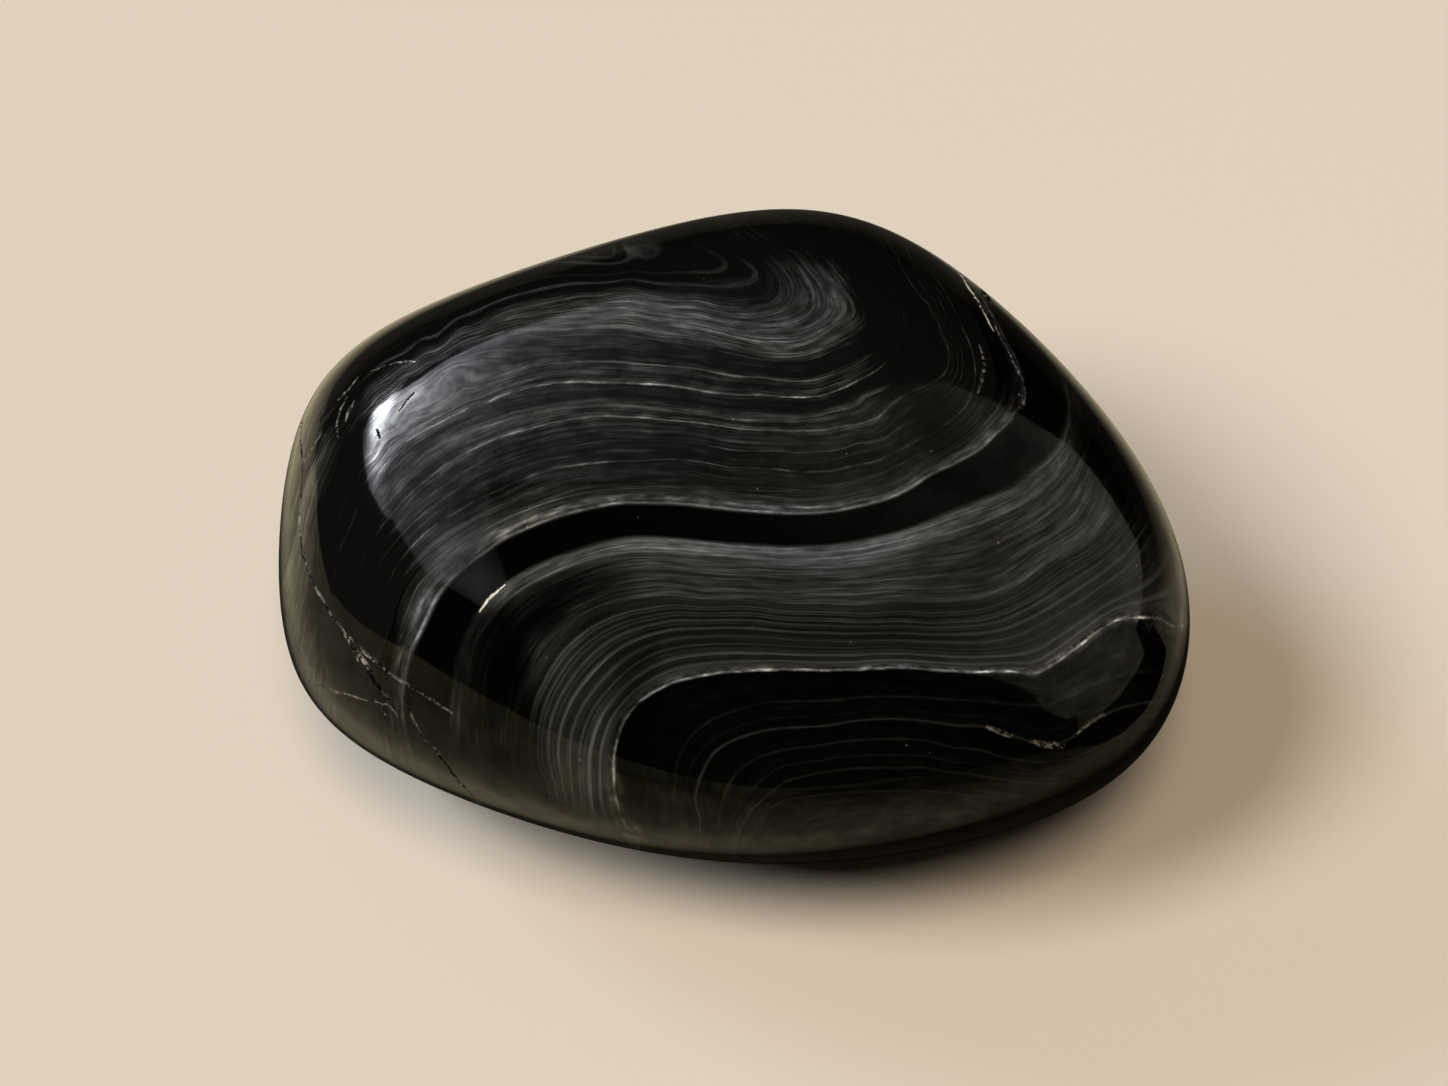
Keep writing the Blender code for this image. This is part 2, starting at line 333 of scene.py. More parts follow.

# Cracks and chips: how far each reaches to either side of its line and how deep it is, in millimetres,
# how brightly its lips gleam, and its line on the drawing sheet. The gleam is painted: up to 1 it gives
# broken grains and painted glints, beyond 1 a painted reflection of the floor all along the lip.
CRACKS = {
    "left_rim_crack": (0.10, 0.12, 0.40, ((330, 404), (322, 413), (320, 437), (305, 459), (301, 483),
        (299, 526), (302, 554), (311, 577), (324, 602), (333, 618), (342, 628), (350, 640))),
    "left_rim_branch": (0.08, 0.06, 0.4, ((302, 422), (300, 440), (303, 459))),
    "flake_left": (0.12, 0.18, 0.8, ((343, 630), (351, 645), (358, 661))),
    "flake_middle": (0.14, 0.22, 1.15, ((350, 639), (361, 656), (371, 672))),
    "flake_right": (0.09, 0.14, 0.6, ((357, 645), (370, 656), (384, 668))),
    "flake_foot": (0.16, 0.20, 0.15, ((368, 672), (378, 686), (390, 700))),
    "low_left_crack": (0.09, 0.12, 0.26, ((373, 659), (393, 676), (406, 684), (424, 694), (442, 707),
        (452, 713))),
    "faint_left_line": (0.06, 0.03, 0.3, ((299, 661), (317, 682), (337, 692), (362, 699), (388, 704),
        (398, 717))),
    "front_crack": (0.13, 0.12, 0.2, ((422, 738), (436, 748), (452, 773), (480, 804), (488, 812))),
    "front_line": (0.07, 0.04, 0.2, ((408, 706), (414, 722), (424, 738))),
    "right_crack": (0.08, 0.12, 0.3, ((984, 300), (998, 333), (1015, 365), (1022, 379), (1025, 394),
        (1022, 406), (1015, 416), (1008, 424))),
    "right_notch": (0.42, 0.36, 0.45, ((975, 281), (983, 291), (990, 303))),
    # The notch's lip and tail gleam above 1: a painted reflection of the floor all along them.
    "right_notch_lip": (0.16, 0.10, 1.9, ((958, 270), (964, 279), (970, 289), (976, 299))),
    "right_notch_tail": (0.08, 0.06, 1.8, ((974, 295), (980, 306), (987, 319), (993, 331))),
    "left_scuff_upper": (0.08, 0.05, 0.5, ((358, 377), (349, 389), (339, 400))),
    "left_scuff_middle": (0.09, 0.06, 0.5, ((348, 396), (341, 409), (337, 424), (338, 437))),
    "left_scuff_lower": (0.07, 0.05, 0.45, ((355, 401), (349, 412), (346, 422))),
    "top_left_scuff": (0.07, 0.04, 0.25, ((372, 371), (385, 366), (402, 362), (415, 362))),
    "right_branch": (0.07, 0.05, 0.35, ((979, 345), (985, 367), (978, 394))),
    "rim_of_the_core": (0.07, 0.06, 0.4, ((1022, 671), (1040, 668), (1053, 660), (1070, 648),
        (1087, 637), (1100, 628), (1117, 619), (1133, 617), (1150, 616), (1163, 618))),
    # A shallow chip whose lip gleams above 1: a painted highlight all along it.
    "ribbon_chip_with_painted_highlight": (0.07, 0.04, 1.7, ((480, 612), (487, 601), (496, 592), (505, 585))),
    "core_chips_left": (0.10, 0.08, 0.28, ((987, 727), (1000, 731), (1017, 737))),
    "core_chips_middle": (0.17, 0.15, 0.4, ((1030, 741), (1045, 745), (1063, 746))),
    "core_chips_right": (0.11, 0.10, 0.32, ((1077, 733), (1090, 722), (1110, 712))),
    "crescent_nick": (0.07, 0.08, 0.0, ((414, 393), (405, 402), (399, 411))),
    "crescent_pit": (0.08, 0.10, 0.0, ((377, 430), (379, 438))),
}

# What each point of a crack line keeps.
CRACK_SIZES = ("crack width", "crack depth", "crack gleam")

# The step between the points of a crack line and how far they stray from it, both in millimetres. The
# strays are (waves per sheet unit, where the noise is read).
CRACK_STEP = 0.35
CRACK_STRAY = 0.07
STRAYS = ((0.11, 3.7), (0.37, 9.1))
STRAY_SEED = 7

# How a crack narrows to its ends, and by how much of themselves its width and depth vary, at so many
# waves a metre. A smaller taper keeps the crack wide for longer. The end spare is how many steps beyond
# its last point a crack would close.
END_TAPER = 0.35
END_SPARE = 0.6
UNEVEN = 0.6
WIDTH_WAVES = 900.0
DEPTH_WAVES = 700.0

# How far the surface lies from the heart near the cracks, in metres. Each round of the finer grid reaches
# this far from their lines, in millimetres, and LIP_REACH times the crack's width further.
STONE_REACH = 0.028
FINER_ROUNDS = (0.65, 0.36, 0.19, 0.08)
LIP_REACH = 1.6

# The broken lips: the size of their grain and chips in metres, and how ragged they are in crack widths.
# The walls and the lip are given inward from the crack's side, in crack widths. The floor of the crack
# lies at the first share of its depth, and chips take it deeper by up to about the second.
LIP_GRAIN = 0.00030
LIP_RAGGEDNESS = 1.1
CHIP_SIZE = 0.00032
CHIP_DEPTHS = (0.55, 0.8)
CRACK_WALL = (0.0, 0.8)
LIP_WIDTH = (-0.6, 0.4)

# Edges that turn by more than this are shown as sharp.
SHARP_ANGLE = math.radians(35.0)

# ---------------------------------------------------------------- finish of the layers

# How the layers wander off their level: waves per millimetre, reach in millimetres, fineness.
WANDER = (0.30, 0.12, 0.5)
RIPPLE = (1.3, 0.035, 0.5)
RAGGED_EDGE = (5.0, 0.04, 0.6)

# The rim of the core keeps one width, but widens where the layers climb more slowly than this.
SLOWEST_PACE = 0.3

# Streaks drawn out along the layers: waves per millimetre along and across, detail, where the noise is
# read, and strength. STREAK_RANGE widens the noise's narrow range. The ramp of the liveliness keeps it at
# RAMP_RANGE of its size, because a ramp holds no more than 1.
LONG_STREAKS = (0.07, 4.5, 2.0, 3.0, 1.0)
DASHES = (0.8, 2.6, 3.0, 11.0, 1.0)
BRUSHING = (0.35, 9.0, 4.0, 23.0, 1.8)
STREAK_FINENESS = 0.55
STREAK_RANGE = 2.0
RAMP_RANGE = 0.1

# The least tone of the black, and what is on top of it beyond the smoke's level.
BLACK_TONE = 0.0006
SMOKE_LEVEL = 22.7
SMOKE_TONE = 0.0025

# The polish: how much of the streaks' doublings it shows, its bounds, the waves per millimetre of its
# clouding and how far that takes it down and up, and its tint.
SHINE_IN_STREAKS = 0.6
SHINE_BOUNDS = (0.10, 0.65)
CLOUD_WAVES = 0.5
CLOUDED_POLISH = (0.72, 1.26)
POLISH_TINT = (1.04, 1.0, 0.86, 1.0)
AGATE_IOR = 1.54

# The roughness of the black and of the grey, and the square roots of the tones that count as such.
BLACK_ROUGHNESS = 0.05
GREY_ROUGHNESS = 0.16
ROUGHNESS_TONES = (0.04, 0.30)

# The tints: olive up to the first tone, and cool or warm from place to place beyond the second.
OLIVE_TINT = (1.0, 0.985, 0.87)
OLIVE_TONES = (0.006, 0.040)
COOL_TINT = (0.955, 0.985, 1.04)
WARM_TINT = (1.0, 0.97, 0.86)
TINT_WAVES = 0.06

# Most of the noise lies between these two values.
NOISE_MIDDLE = (0.35, 0.65)

# The bright flecks on the lips of the cracks, broken grains and painted glints: colour, strength and
# limit, waves per millimetre, the waves and strength of the longer stretches they keep to, and the noise
# where they start and are whole.
GRAIN_AND_GLINT_COLOUR = (1.0, 0.90, 0.70)
GRAIN_AND_GLINT_TONE = 0.55
FLECK_LIMIT = 0.8
FLECK_WAVES = 3.4
FLECK_STRETCHES = (0.6, 0.9)
FLECK_RANGE = (0.46, 0.70)

# What a crack takes from the tone and from the polish, and what it adds to the roughness.
CRACK_DARKENS = 0.9
CRACK_DULLS = 0.5
CRACK_ROUGHENS = 0.18

# The pits in the polish: how many along a millimetre, the radius of the largest in millimetres and its
# tone.
PITS_PER_MM = 0.55
PIT_SIZE = 0.075
PIT_TONE = 0.12

# ---------------------------------------------------------------- studio

# Each lamp: its bearing, lift and spread in degrees, and the light it lays on the floor.
LAMPS = {
    "key": (-52.0, 48.6, 20.0, (0.460, 0.470, 0.475)),
    "front": (1.0, 58.6, 18.0, (0.430, 0.380, 0.310)),
    "back": (-110.0, 37.5, 20.0, (0.110, 0.145, 0.195)),
}
ROOM_LIGHT = (0.025, 0.024, 0.020)
FLOOR_COLOUR = (0.73, 0.63, 0.52)
FLOOR_ROUGHNESS = 0.8
FLOOR_SHINE = 0.2
FLOOR_HALF_WIDTH = 6.0

# The floor as the polish sees it: a slab growing dim to the back, to the right, to the front and under
# the stone, as in a room lit from one window. SLAB_RIGHT is its front right edge, from front to right.
SLAB_COLOUR = (0.76, 0.645, 0.42)
SLAB_REACH = 1.6
SLAB_RIGHT = (
    (0.300, -1.600), (0.250, -0.400), (0.113, -0.088), (0.099, -0.078), (0.073, -0.048),
    (0.056, -0.030), (0.054, -0.022), (0.056, -0.012), (0.063, -0.003), (0.072, 0.006), (0.105, 0.015),
    (0.200, 0.040), (1.600, 0.200),
)
SLAB_LIFT = 0.0001

# Where the slab starts and ends to grow dim, in metres, and the share of its light that is left. Left of
# the middle, the dim back and front slant by so much a metre. At the foot the first two are in half sizes
# of the shade under the stone, and the share is that in its middle.
DIM_TO_THE_BACK = (0.020, 0.070, 0.04)
DIM_TO_THE_RIGHT = (0.020, 0.058, 0.33)
DIM_TO_THE_FRONT = (-0.050, -0.130, 0.45)
BACK_SLANT = 0.5
FRONT_SLANT = -1.5
FOOT_MIDDLE = (0.0008, 0.006)
FOOT_HALF_SIZES = (0.044, 0.0277)
FOOT_TURN = math.radians(-28.0)
FOOT_CRISPNESS = 2.4
DIM_AT_THE_FOOT = (0.95, 1.29, 0.03)

# The low wall in front, which only the polish sees: its distance, then the bearing and lift of points
# along its top, in degrees. The lift is that from a point WALL_BASE above the floor. Its light goes from
# the first value at its left end to the second in front.
WALL_DISTANCE = 1.3
WALL_LEFT_END = -0.9 * WALL_DISTANCE
WALL_BASE = 0.7 * LOOK_AT.z
WALL_TOP = (
    (-95.0, 0.5), (-80.0, 8.0), (-65.0, 17.0), (-55.0, 18.0), (-45.0, 17.0), (-40.0, 14.5),
    (-31.0, 11.5), (-23.0, 9.0), (-16.0, 6.0), (-9.0, 3.5), (0.0, 1.5), (10.0, 2.5), (22.0, 3.5),
    (27.0, 0.5),
)
WALL_COLOUR = (1.07, 1.0, 0.62)
WALL_LIGHT = (0.64, 0.27)

# The low haze on the right, between the slab and the overhead card, given in the same way.
HAZE_DISTANCE = 0.21
HAZE_TOP = ((62.0, 8.5), (72.0, 8.5), (82.0, 8.5), (93.0, 8.5))
HAZE_COLOUR = (1.08, 1.0, 0.74)
HAZE_LIGHT = 0.37

# The two cards that only the polish sees, each cut to its outline at CARD_HEIGHT, in metres.
CARD_HEIGHT = 0.300
WINDOW_CARD = (
    (-0.450, 0.289), (-0.423, 0.184), (-0.398, 0.106), (-0.345, 0.044), (-0.317, 0.030),
    (-0.285, -0.051), (-0.212, -0.098), (-0.150, -0.055), (-0.120, 0.050), (-0.020, 0.060),
    (0.128, 0.193), (0.128, 0.300), (-0.150, 0.310), (-0.200, 0.296), (-0.235, 0.276), (-0.300, 0.292),
    (-0.390, 0.305),
)
OVERHEAD_CARD = (
    (-0.139, -0.026), (-0.107, -0.040), (-0.023, -0.076), (0.239, -0.185), (0.478, -0.305),
    (0.720, -0.465), (1.100, -0.665), (3.2, -1.70), (3.6, 2.2), (0.539, 0.518), (0.309, 0.323),
    (0.180, 0.224), (0.129, 0.193), (-0.020, 0.059), (-0.121, 0.049),
)
WINDOW_COLOUR = (0.955, 1.0, 1.20)
OVERHEAD_COLOUR = (1.01, 1.0, 0.95)

# The light of the window card: a glow round its middle over a least light, fading to the right from the
# first x to the second. Its spots are (middle, reach, light). A hollow is given in the same way, with the
# share of the light that it takes away.
WINDOW_GLOW_MIDDLE = (-0.240, 0.230)
WINDOW_GLOW_REACH = 0.062
WINDOW_GLOW = 8.5
WINDOW_LEAST = 0.24
WINDOW_FADE = (-0.20, 0.11)
WINDOW_SPOTS = {
    "crescent": ((-0.350, 0.255), (0.046, 0.080), 38.0),
    "tail": ((-0.356, 0.150), (0.040, 0.080), 6.0),
    "foot": ((-0.190, -0.060), (0.055, 0.050), 1.2),
}
WINDOW_HOLLOW = ((-0.105, 0.000), (0.055, 0.040), 0.9)

# The light of the overhead card: a hollow, two fades along x and one along x and y together. A fade is
# (start, end, light at the start, light at the end).
OVERHEAD_HOLLOW = ((-0.100, 0.010), (0.060, 0.040), 0.9)
OVERHEAD_FADES = ((0.10, 0.30, 0.30, 0.50), (-0.08, 0.16, 0.25, 1.0))
OVERHEAD_SLANTED_FADE = (0.0, 0.12, 0.3, 1.0)


def direction(bearing, lift):
    """The unit vector at a bearing (0 to the front, 90 to the right) and a lift, both in degrees."""
    around = math.radians(bearing)
    above = math.radians(lift)
    level = math.cos(above)
    return Vector((math.sin(around) * level, -math.cos(around) * level, math.sin(above)))


# ---------------------------------------------------------------- node trees


class Wiring:
    """Adds nodes to a tree in one line each. A socket or a plain value may be given for any input."""

    def __init__(self, tree):
        self.tree = tree

    def node(self, kind, inputs=(), **settings):
        node = self.tree.nodes.new(kind)
        for name, value in settings.items():
            setattr(node, name, value)
        for key, value in dict(inputs).items():
            socket = node.inputs[key]
            if isinstance(value, bpy.types.NodeSocket):
                self.tree.links.new(value, socket)
            else:
                socket.default_value = value
        return node

    def math(self, operation, *values):
        return self.node("ShaderNodeMath", dict(enumerate(values)), operation=operation).outputs[0]

    def vector(self, operation, *values):
        node = self.node("ShaderNodeVectorMath", dict(enumerate(values)), operation=operation)
        gives_a_number = operation in ("LENGTH", "DOT_PRODUCT", "DISTANCE")
        return node.outputs["Value" if gives_a_number else "Vector"]

    def scaled(self, vector, factor):
        node = self.node("ShaderNodeVectorMath", {0: vector, "Scale": factor}, operation="SCALE")
        return node.outputs[0]

    def blend(self, factor, one, other):
        """The first colour where the factor is 0, the second where it is 1."""
        one, other = ((*colour, 1.0) if isinstance(colour, tuple) else colour for colour in (one, other))
        return self.node("ShaderNodeMix", {0: factor, 6: one, 7: other}, data_type="RGBA").outputs[2]


def rise(w, value, start, end, low=0.0, high=1.0, kind="SMOOTHSTEP"):
    """Goes from low to high as the value goes from start to end."""
    return w.node(
        "ShaderNodeMapRange",
        {"Value": value, "From Min": start, "From Max": end, "To Min": low, "To Max": high},
        interpolation_type=kind,
    ).outputs["Result"]


def new_form_tree(name, inputs):
    """A geometry node tree with named inputs: (name, socket type, default) each."""
    tree = bpy.data.node_groups.new(name, "GeometryNodeTree")
    tree.interface.new_socket("Geometry", in_out="INPUT", socket_type="NodeSocketGeometry")
    for label, kind, value in inputs:
        socket = tree.interface.new_socket(label, in_out="INPUT", socket_type=kind)
        if value is not None:
            socket.default_value = value
    tree.interface.new_socket("Geometry", in_out="OUTPUT", socket_type="NodeSocketGeometry")
    return tree


def end_form_tree(wiring, geometry, material):
    """Realises the instances, sets the material and leaves the tree."""
    whole = wiring.node("GeometryNodeRealizeInstances", {0: geometry}).outputs[0]
    finished = wiring.node("GeometryNodeSetMaterial", {"Geometry": whole, "Material": material})
    wiring.node("NodeGroupOutput", {0: finished.outputs[0]})


def tumbled_form_tree():
    """Sets every point of a unit ball out to the surface of the stone.

    Each form alone would put the surface at 1 / nearness. The power mean lets the nearest form rule and
    rounds the stretch where two of them are about as near. What falls below the resting plane is cut.
    """
    inputs = [
        ("Heart", "NodeSocketVector", HEART),
        ("Block half sizes", "NodeSocketVector", BLOCK_HALF_SIZES),
        ("Block lean", "NodeSocketVector", Vector(BLOCK_LEAN)),
        ("Edge crispness", "NodeSocketFloat", EDGE_CRISPNESS),
    ]
    for name, (bearing, lift, distance) in WORN_FACES.items():
        label = name.replace("_", " ")
        inputs.append((label + " way", "NodeSocketVector", direction(bearing, lift)))
        inputs.append((label + " distance", "NodeSocketFloat", distance))
    inputs.append(("Finish", "NodeSocketMaterial", None))
    tree = new_form_tree("tumbled form", inputs)
    w = Wiring(tree)
    given = w.node("NodeGroupInput").outputs
    outward = w.vector("NORMALIZE", w.node("GeometryNodeInputPosition").outputs[0])
    crispness = given["Edge crispness"]
    in_block = w.node(
        "ShaderNodeVectorRotate",
        {"Vector": outward, "Rotation": given["Block lean"]},
        rotation_type="EULER_XYZ",
        invert=True,
    ).outputs[0]
    nearness = w.vector("LENGTH", w.vector("DIVIDE", in_block, given["Block half sizes"]))
    total = w.math("POWER", nearness, crispness)
    for name in WORN_FACES:
        label = name.replace("_", " ")
        facing = w.math("MAXIMUM", w.vector("DOT_PRODUCT", outward, given[label + " way"]), 0.0)
        nearness = w.math("DIVIDE", facing, given[label + " distance"])
        total = w.math("ADD", total, w.math("POWER", nearness, crispness))
    reach = w.math("POWER", total, w.math("DIVIDE", -1.0, crispness))
    heart = w.node("ShaderNodeSeparateXYZ", {0: given["Heart"]}).outputs
    way = w.node("ShaderNodeSeparateXYZ", {0: outward}).outputs
    downward = w.math("MAXIMUM", w.math("MULTIPLY", way["Z"], -1.0), 1e-6)
    reach = w.math("MINIMUM", reach, w.math("DIVIDE", heart["Z"], downward))
    place = w.vector("ADD", given["Heart"], w.scaled(outward, reach))
    settings = {"Geometry": given["Geometry"], "Position": place}
    end_form_tree(w, w.node("GeometryNodeSetPosition", settings).outputs[0], given["Finish"])
    return tree


def placed(name, data):
    """A new object in the scene."""
    thing = bpy.data.objects.new(name, data)
    bpy.context.scene.collection.objects.link(thing)
    return thing


def run_tree(obj, tree, **values):
    """Puts the tree on the object as a modifier and sets its named inputs."""
    modifier = obj.modifiers.new(tree.name, "NODES")
    modifier.node_group = tree
    for item in tree.interface.items_tree:
        if item.item_type == "SOCKET" and item.in_out == "INPUT" and item.name in values:
            modifier[item.identifier] = values[item.name]


def made_plain(obj):
    """Turns what the modifiers make into the object's own mesh, and removes them."""
    graph = bpy.context.evaluated_depsgraph_get()
    graph.update()
    mesh = bpy.data.meshes.new_from_object(obj.evaluated_get(graph))
    obj.modifiers.clear()
    obj.data = mesh
    return mesh


# ---------------------------------------------------------------- the stone's grid


def ball_grid():
    """A unit ball spread from a cube of CELLS by CELLS squares a side, so that all cover equal angles."""
    places = {}
    squares = []
    for axis in range(3):
        for side in (0, CELLS):
            for i in range(CELLS):
                for j in range(CELLS):
                    ring = [(i, j), (i + 1, j), (i + 1, j + 1), (i, j + 1)]
                    if side == 0:
                        ring.reverse()
                    square = []
                    for across, along in ring:
                        spot = [side, across, along]
                        spot = tuple(spot[-axis:] + spot[:-axis])
                        square.append(places.setdefault(spot, len(places)))
                    squares.append(square)
    cube = 2.0 * np.array(list(places)) / CELLS - 1.0
    ball = np.tan(cube * math.pi / 4.0)
    return ball / np.linalg.norm(ball, axis=1, keepdims=True), np.array(squares)


def triangles_of(points, squares):
    """Parts each square across its shorter diagonal."""
    a, b, c, d = squares.T
    first = np.linalg.norm(points[a] - points[c], axis=1)
    second = np.linalg.norm(points[b] - points[d], axis=1)
    other = (second < first - 1e-9)[:, None]
    one = np.where(other, np.stack((a, b, d), 1), np.stack((a, b, c), 1))
    two = np.where(other, np.stack((b, c, d), 1), np.stack((a, c, d), 1))
    return np.concatenate((one, two))


def halved(points, triangles, picks):
    """Halves each edge whose middle `picks` wants halved, and parts the triangles to suit."""
    ends = np.sort(triangles[:, [[0, 1], [1, 2], [2, 0]]], axis=2).reshape(-1, 2)
    keys, edge_of = np.unique(ends[:, 0] * len(points) + ends[:, 1], return_inverse=True)
    middles = (points[keys // len(points)] + points[keys % len(points)]) / 2.0
    middles /= np.linalg.norm(middles, axis=1, keepdims=True)
    picked = np.array([picks(Vector(middle)) for middle in middles])
    index = np.full(len(keys), -1)
    index[picked] = len(points) + np.arange(picked.sum())
    middle_of = index[edge_of.reshape(-1)].reshape(-1, 3)
    points = np.concatenate((points, middles[picked]))
    cuts = (middle_of >= 0).sum(1)
    parts = [triangles[cuts == 0]]
    for turn in range(3):
        a, b, c = np.roll(triangles, -turn, axis=1).T
        ab, bc, ca = np.roll(middle_of, -turn, axis=1).T
        once = (cuts == 1) & (ab >= 0)
        parts += [np.stack(part, 1)[once] for part in ((a, ab, c), (ab, b, c))]
        twice = (cuts == 2) & (ca < 0)
        parts.append(np.stack((ab, b, bc), 1)[twice])
        parts.append(triangles_of(points, np.stack((a, ab, bc, c), 1)[twice]))
    a, b, c = triangles[cuts == 3].T
    ab, bc, ca = middle_of[cuts == 3].T
    parts += [np.stack(part, 1) for part in ((a, ab, ca), (ab, b, bc), (ca, bc, c), (ab, bc, ca))]
    return points, np.concatenate(parts)


def finer_along(points, triangles, lines):
    """Halves the triangles of the ball round after round, ever nearer to the crack lines."""
    ways = [(point - HEART).normalized() for _, drawn in lines for point in drawn]
    reaches = [LIP_REACH * sizes[0] for sizes, drawn in lines for _ in drawn]
    near = kdtree.KDTree(len(ways))
    for index, way in enumerate(ways):
        near.insert(way, index)
    near.balance()
    for reach in FINER_ROUNDS:

        def picks(middle):
            _, index, angle = near.find(middle)
            return angle * STONE_REACH < (reach + reaches[index]) * MM

        points, triangles = halved(points, triangles, picks)
    return points, triangles


def mesh_of(points, faces):
    mesh = bpy.data.meshes.new("onyx")
    mesh.from_pydata(points.tolist(), [], faces.tolist())
    return mesh


def crack_lines(stone):
    """Carries the crack lines onto the stone: for each (width, depth, gleam) and the points along it."""
    noise.seed_set(STRAY_SEED)
    mesh = stone.data
    corners = [tuple(face.vertices) for face in mesh.polygons]
    tree = BVHTree.FromPolygons([vert.co for vert in mesh.vertices], corners)
    lines = []
    for *sizes, drawn in CRACKS.values():
        path = [Vector(point) for point in drawn]
        lengths = [(b - a).length / SHEET_UNITS_PER_MM for a, b in zip(path, path[1:])]
        points = []
        for start, end, length in zip(path, path[1:], lengths):
            steps = max(1, round(length / CRACK_STEP))
            for step in range(steps):
                points.append(start.lerp(end, step / steps))
        points.append(path[-1])
        carried = []
        for place in points:
            stray = Vector()
            for waves, depth in STRAYS:
                stray += noise.noise_vector((place.x * waves, place.y * waves, depth)) * CRACK_STRAY
            across = (place.x - SHEET_MIDDLE[0]) / SHEET_UNITS_PER_MM + stray.x
            above = (SHEET_MIDDLE[1] - place.y) / SHEET_UNITS_PER_MM + stray.y
            up = Vector((0.0, math.sin(CAMERA_LIFT), math.cos(CAMERA_LIFT)))
            aim = LOOK_AT + (Vector((1.0, 0.0, 0.0)) * across + up * above) * MM
            hit = tree.ray_cast(EYE, (aim - EYE).normalized())[0]
            if hit is not None:
                carried.append(hit)
        lines.append((sizes, carried))
    return lines


def crack_guides(lines):
    """The crack lines as a mesh of edges. Each point keeps its own width, depth and gleam."""
    mesh = bpy.data.meshes.new("crack_lines")
    points = []
    edges = []
    sizes = []
    for (width, depth, gleam), carried in lines:
        first = len(points)
        points += carried
        edges += [(first + index, first + index + 1) for index in range(len(carried) - 1)]
        for index, point in enumerate(carried):
            along = (index + END_SPARE) / (len(carried) - 1.0 + 2.0 * END_SPARE)
            ends = math.sin(math.pi * along) ** END_TAPER
            wide = 1.0 + UNEVEN * noise.noise(point * WIDTH_WAVES)
            deep = 1.0 + UNEVEN * noise.noise(point * DEPTH_WAVES + Vector((5.0, 0.0, 0.0)))
            sizes.append((width * ends * wide * MM, depth * ends * deep * MM, gleam))
    mesh.from_pydata([tuple(point) for point in points], edges, [])
    for name, values in zip(CRACK_SIZES, np.array(sizes).T):
        store(mesh, name, values)
    return placed("crack_lines", mesh)


def crack_tree():
    """Sinks the surface along the crack lines and roughens their lips, as chipped agate is."""
    inputs = [
        ("Crack lines", "NodeSocketObject", None),
        ("Lip grain", "NodeSocketFloat", LIP_GRAIN),
        ("Lip raggedness", "NodeSocketFloat", LIP_RAGGEDNESS),
        ("Chip size", "NodeSocketFloat", CHIP_SIZE),
        ("Finish", "NodeSocketMaterial", None),
    ]
    tree = new_form_tree("cracks along their lines", inputs)
    w = Wiring(tree)
    given = w.node("NodeGroupInput").outputs
    lines = w.node("GeometryNodeObjectInfo", {"Object": given["Crack lines"]}).outputs["Geometry"]
    place = w.node("GeometryNodeInputPosition").outputs[0]
    far = w.node("GeometryNodeProximity", {"Target": lines}, target_element="EDGES").outputs["Distance"]
    nearest = w.node("GeometryNodeSampleNearest", {"Geometry": lines}, domain="POINT").outputs["Index"]
    sizes = []
    for name in CRACK_SIZES:
        along = w.node("GeometryNodeInputNamedAttribute", {"Name": name}, data_type="FLOAT").outputs[0]
        sampled = w.node(
            "GeometryNodeSampleIndex",
            {"Geometry": lines, "Value": along, "Index": nearest},
            data_type="FLOAT",
            domain="POINT",
        )
        sizes.append(sampled.outputs[0])
    width, depth, gleam = sizes
    in_grains = w.scaled(place, w.math("DIVIDE", 1.0, given["Lip grain"]))
    grain = w.node("ShaderNodeTexNoise", {"Vector": in_grains, "Scale": 1.0, "Detail": 2.0}).outputs[0]
    reach = w.math("MULTIPLY", width, given["Lip raggedness"])
    ragged = w.math("MULTIPLY", w.math("SUBTRACT", grain, 0.5), reach)
    inward = w.math("SUBTRACT", 1.0, w.math("DIVIDE", w.math("ADD", far, ragged), width))
    open_part = rise(w, inward, *CRACK_WALL)
    lip = rise(w, inward, *LIP_WIDTH, kind="LINEAR")
    in_chips = w.scaled(place, w.math("DIVIDE", 1.0, given["Chip size"]))
    chips = w.node("ShaderNodeTexVoronoi", {"Vector": in_chips, "Scale": 1.0}).outputs["Distance"]
    least, more = CHIP_DEPTHS
    sunk = w.math("MULTIPLY", open_part, w.math("ADD", least, w.math("MULTIPLY", chips, more)))
    sunk = w.math("MULTIPLY", sunk, depth)
    normal = w.node("GeometryNodeInputNormal").outputs[0]
    moved = w.node(
        "GeometryNodeSetPosition",
        {"Geometry": given["Geometry"], "Offset": w.scaled(normal, w.math("MULTIPLY", sunk, -1.0))},
    ).outputs[0]
    for name, value in (("crack", open_part), ("lip", w.math("MULTIPLY", lip, gleam))):
        moved = w.node(
            "GeometryNodeStoreNamedAttribute",
            {"Geometry": moved, "Name": name, "Value": value},
            data_type="FLOAT",
            domain="POINT",
        ).outputs[0]
    end_form_tree(w, moved, given["Finish"])
    return tree


def bake_map(mesh):
    """Unfolds the stone onto a square, as an eight-sided solid is unfolded, for the export's bake."""
    points = vectors_of(mesh, "co") - np.array(HEART)
    ways = points / np.abs(points).sum(1, keepdims=True)
    corners = np.empty(len(mesh.loops), np.int32)
    mesh.loops.foreach_get("vertex_index", corners)
    centres = ways[corners].reshape(-1, 3, 3).mean(1)
    centres = np.repeat(centres, 3, axis=0)
    flat = ways[corners][:, :2]
    signs = np.where(centres[:, :2] >= 0.0, 1.0, -1.0)
    folded = (1.0 - np.abs(flat[:, ::-1])) * signs
    flat = np.where(centres[:, 2:] >= 0.0, flat, folded)
    layer = mesh.uv_layers.new(name="OFBake")
    layer.data.foreach_set("uv", (0.5 + MAP_HALF_SIZE * flat).astype(np.float32).ravel())


def vectors_of(mesh, kind):
    """The places ("co") or the normals ("normal") of all points of the mesh."""
    values = np.empty(len(mesh.vertices) * 3, np.float32)
    mesh.vertices.foreach_get(kind, values)
    return values.reshape(-1, 3).astype(np.float64)


# ---------------------------------------------------------------- layers on the stone


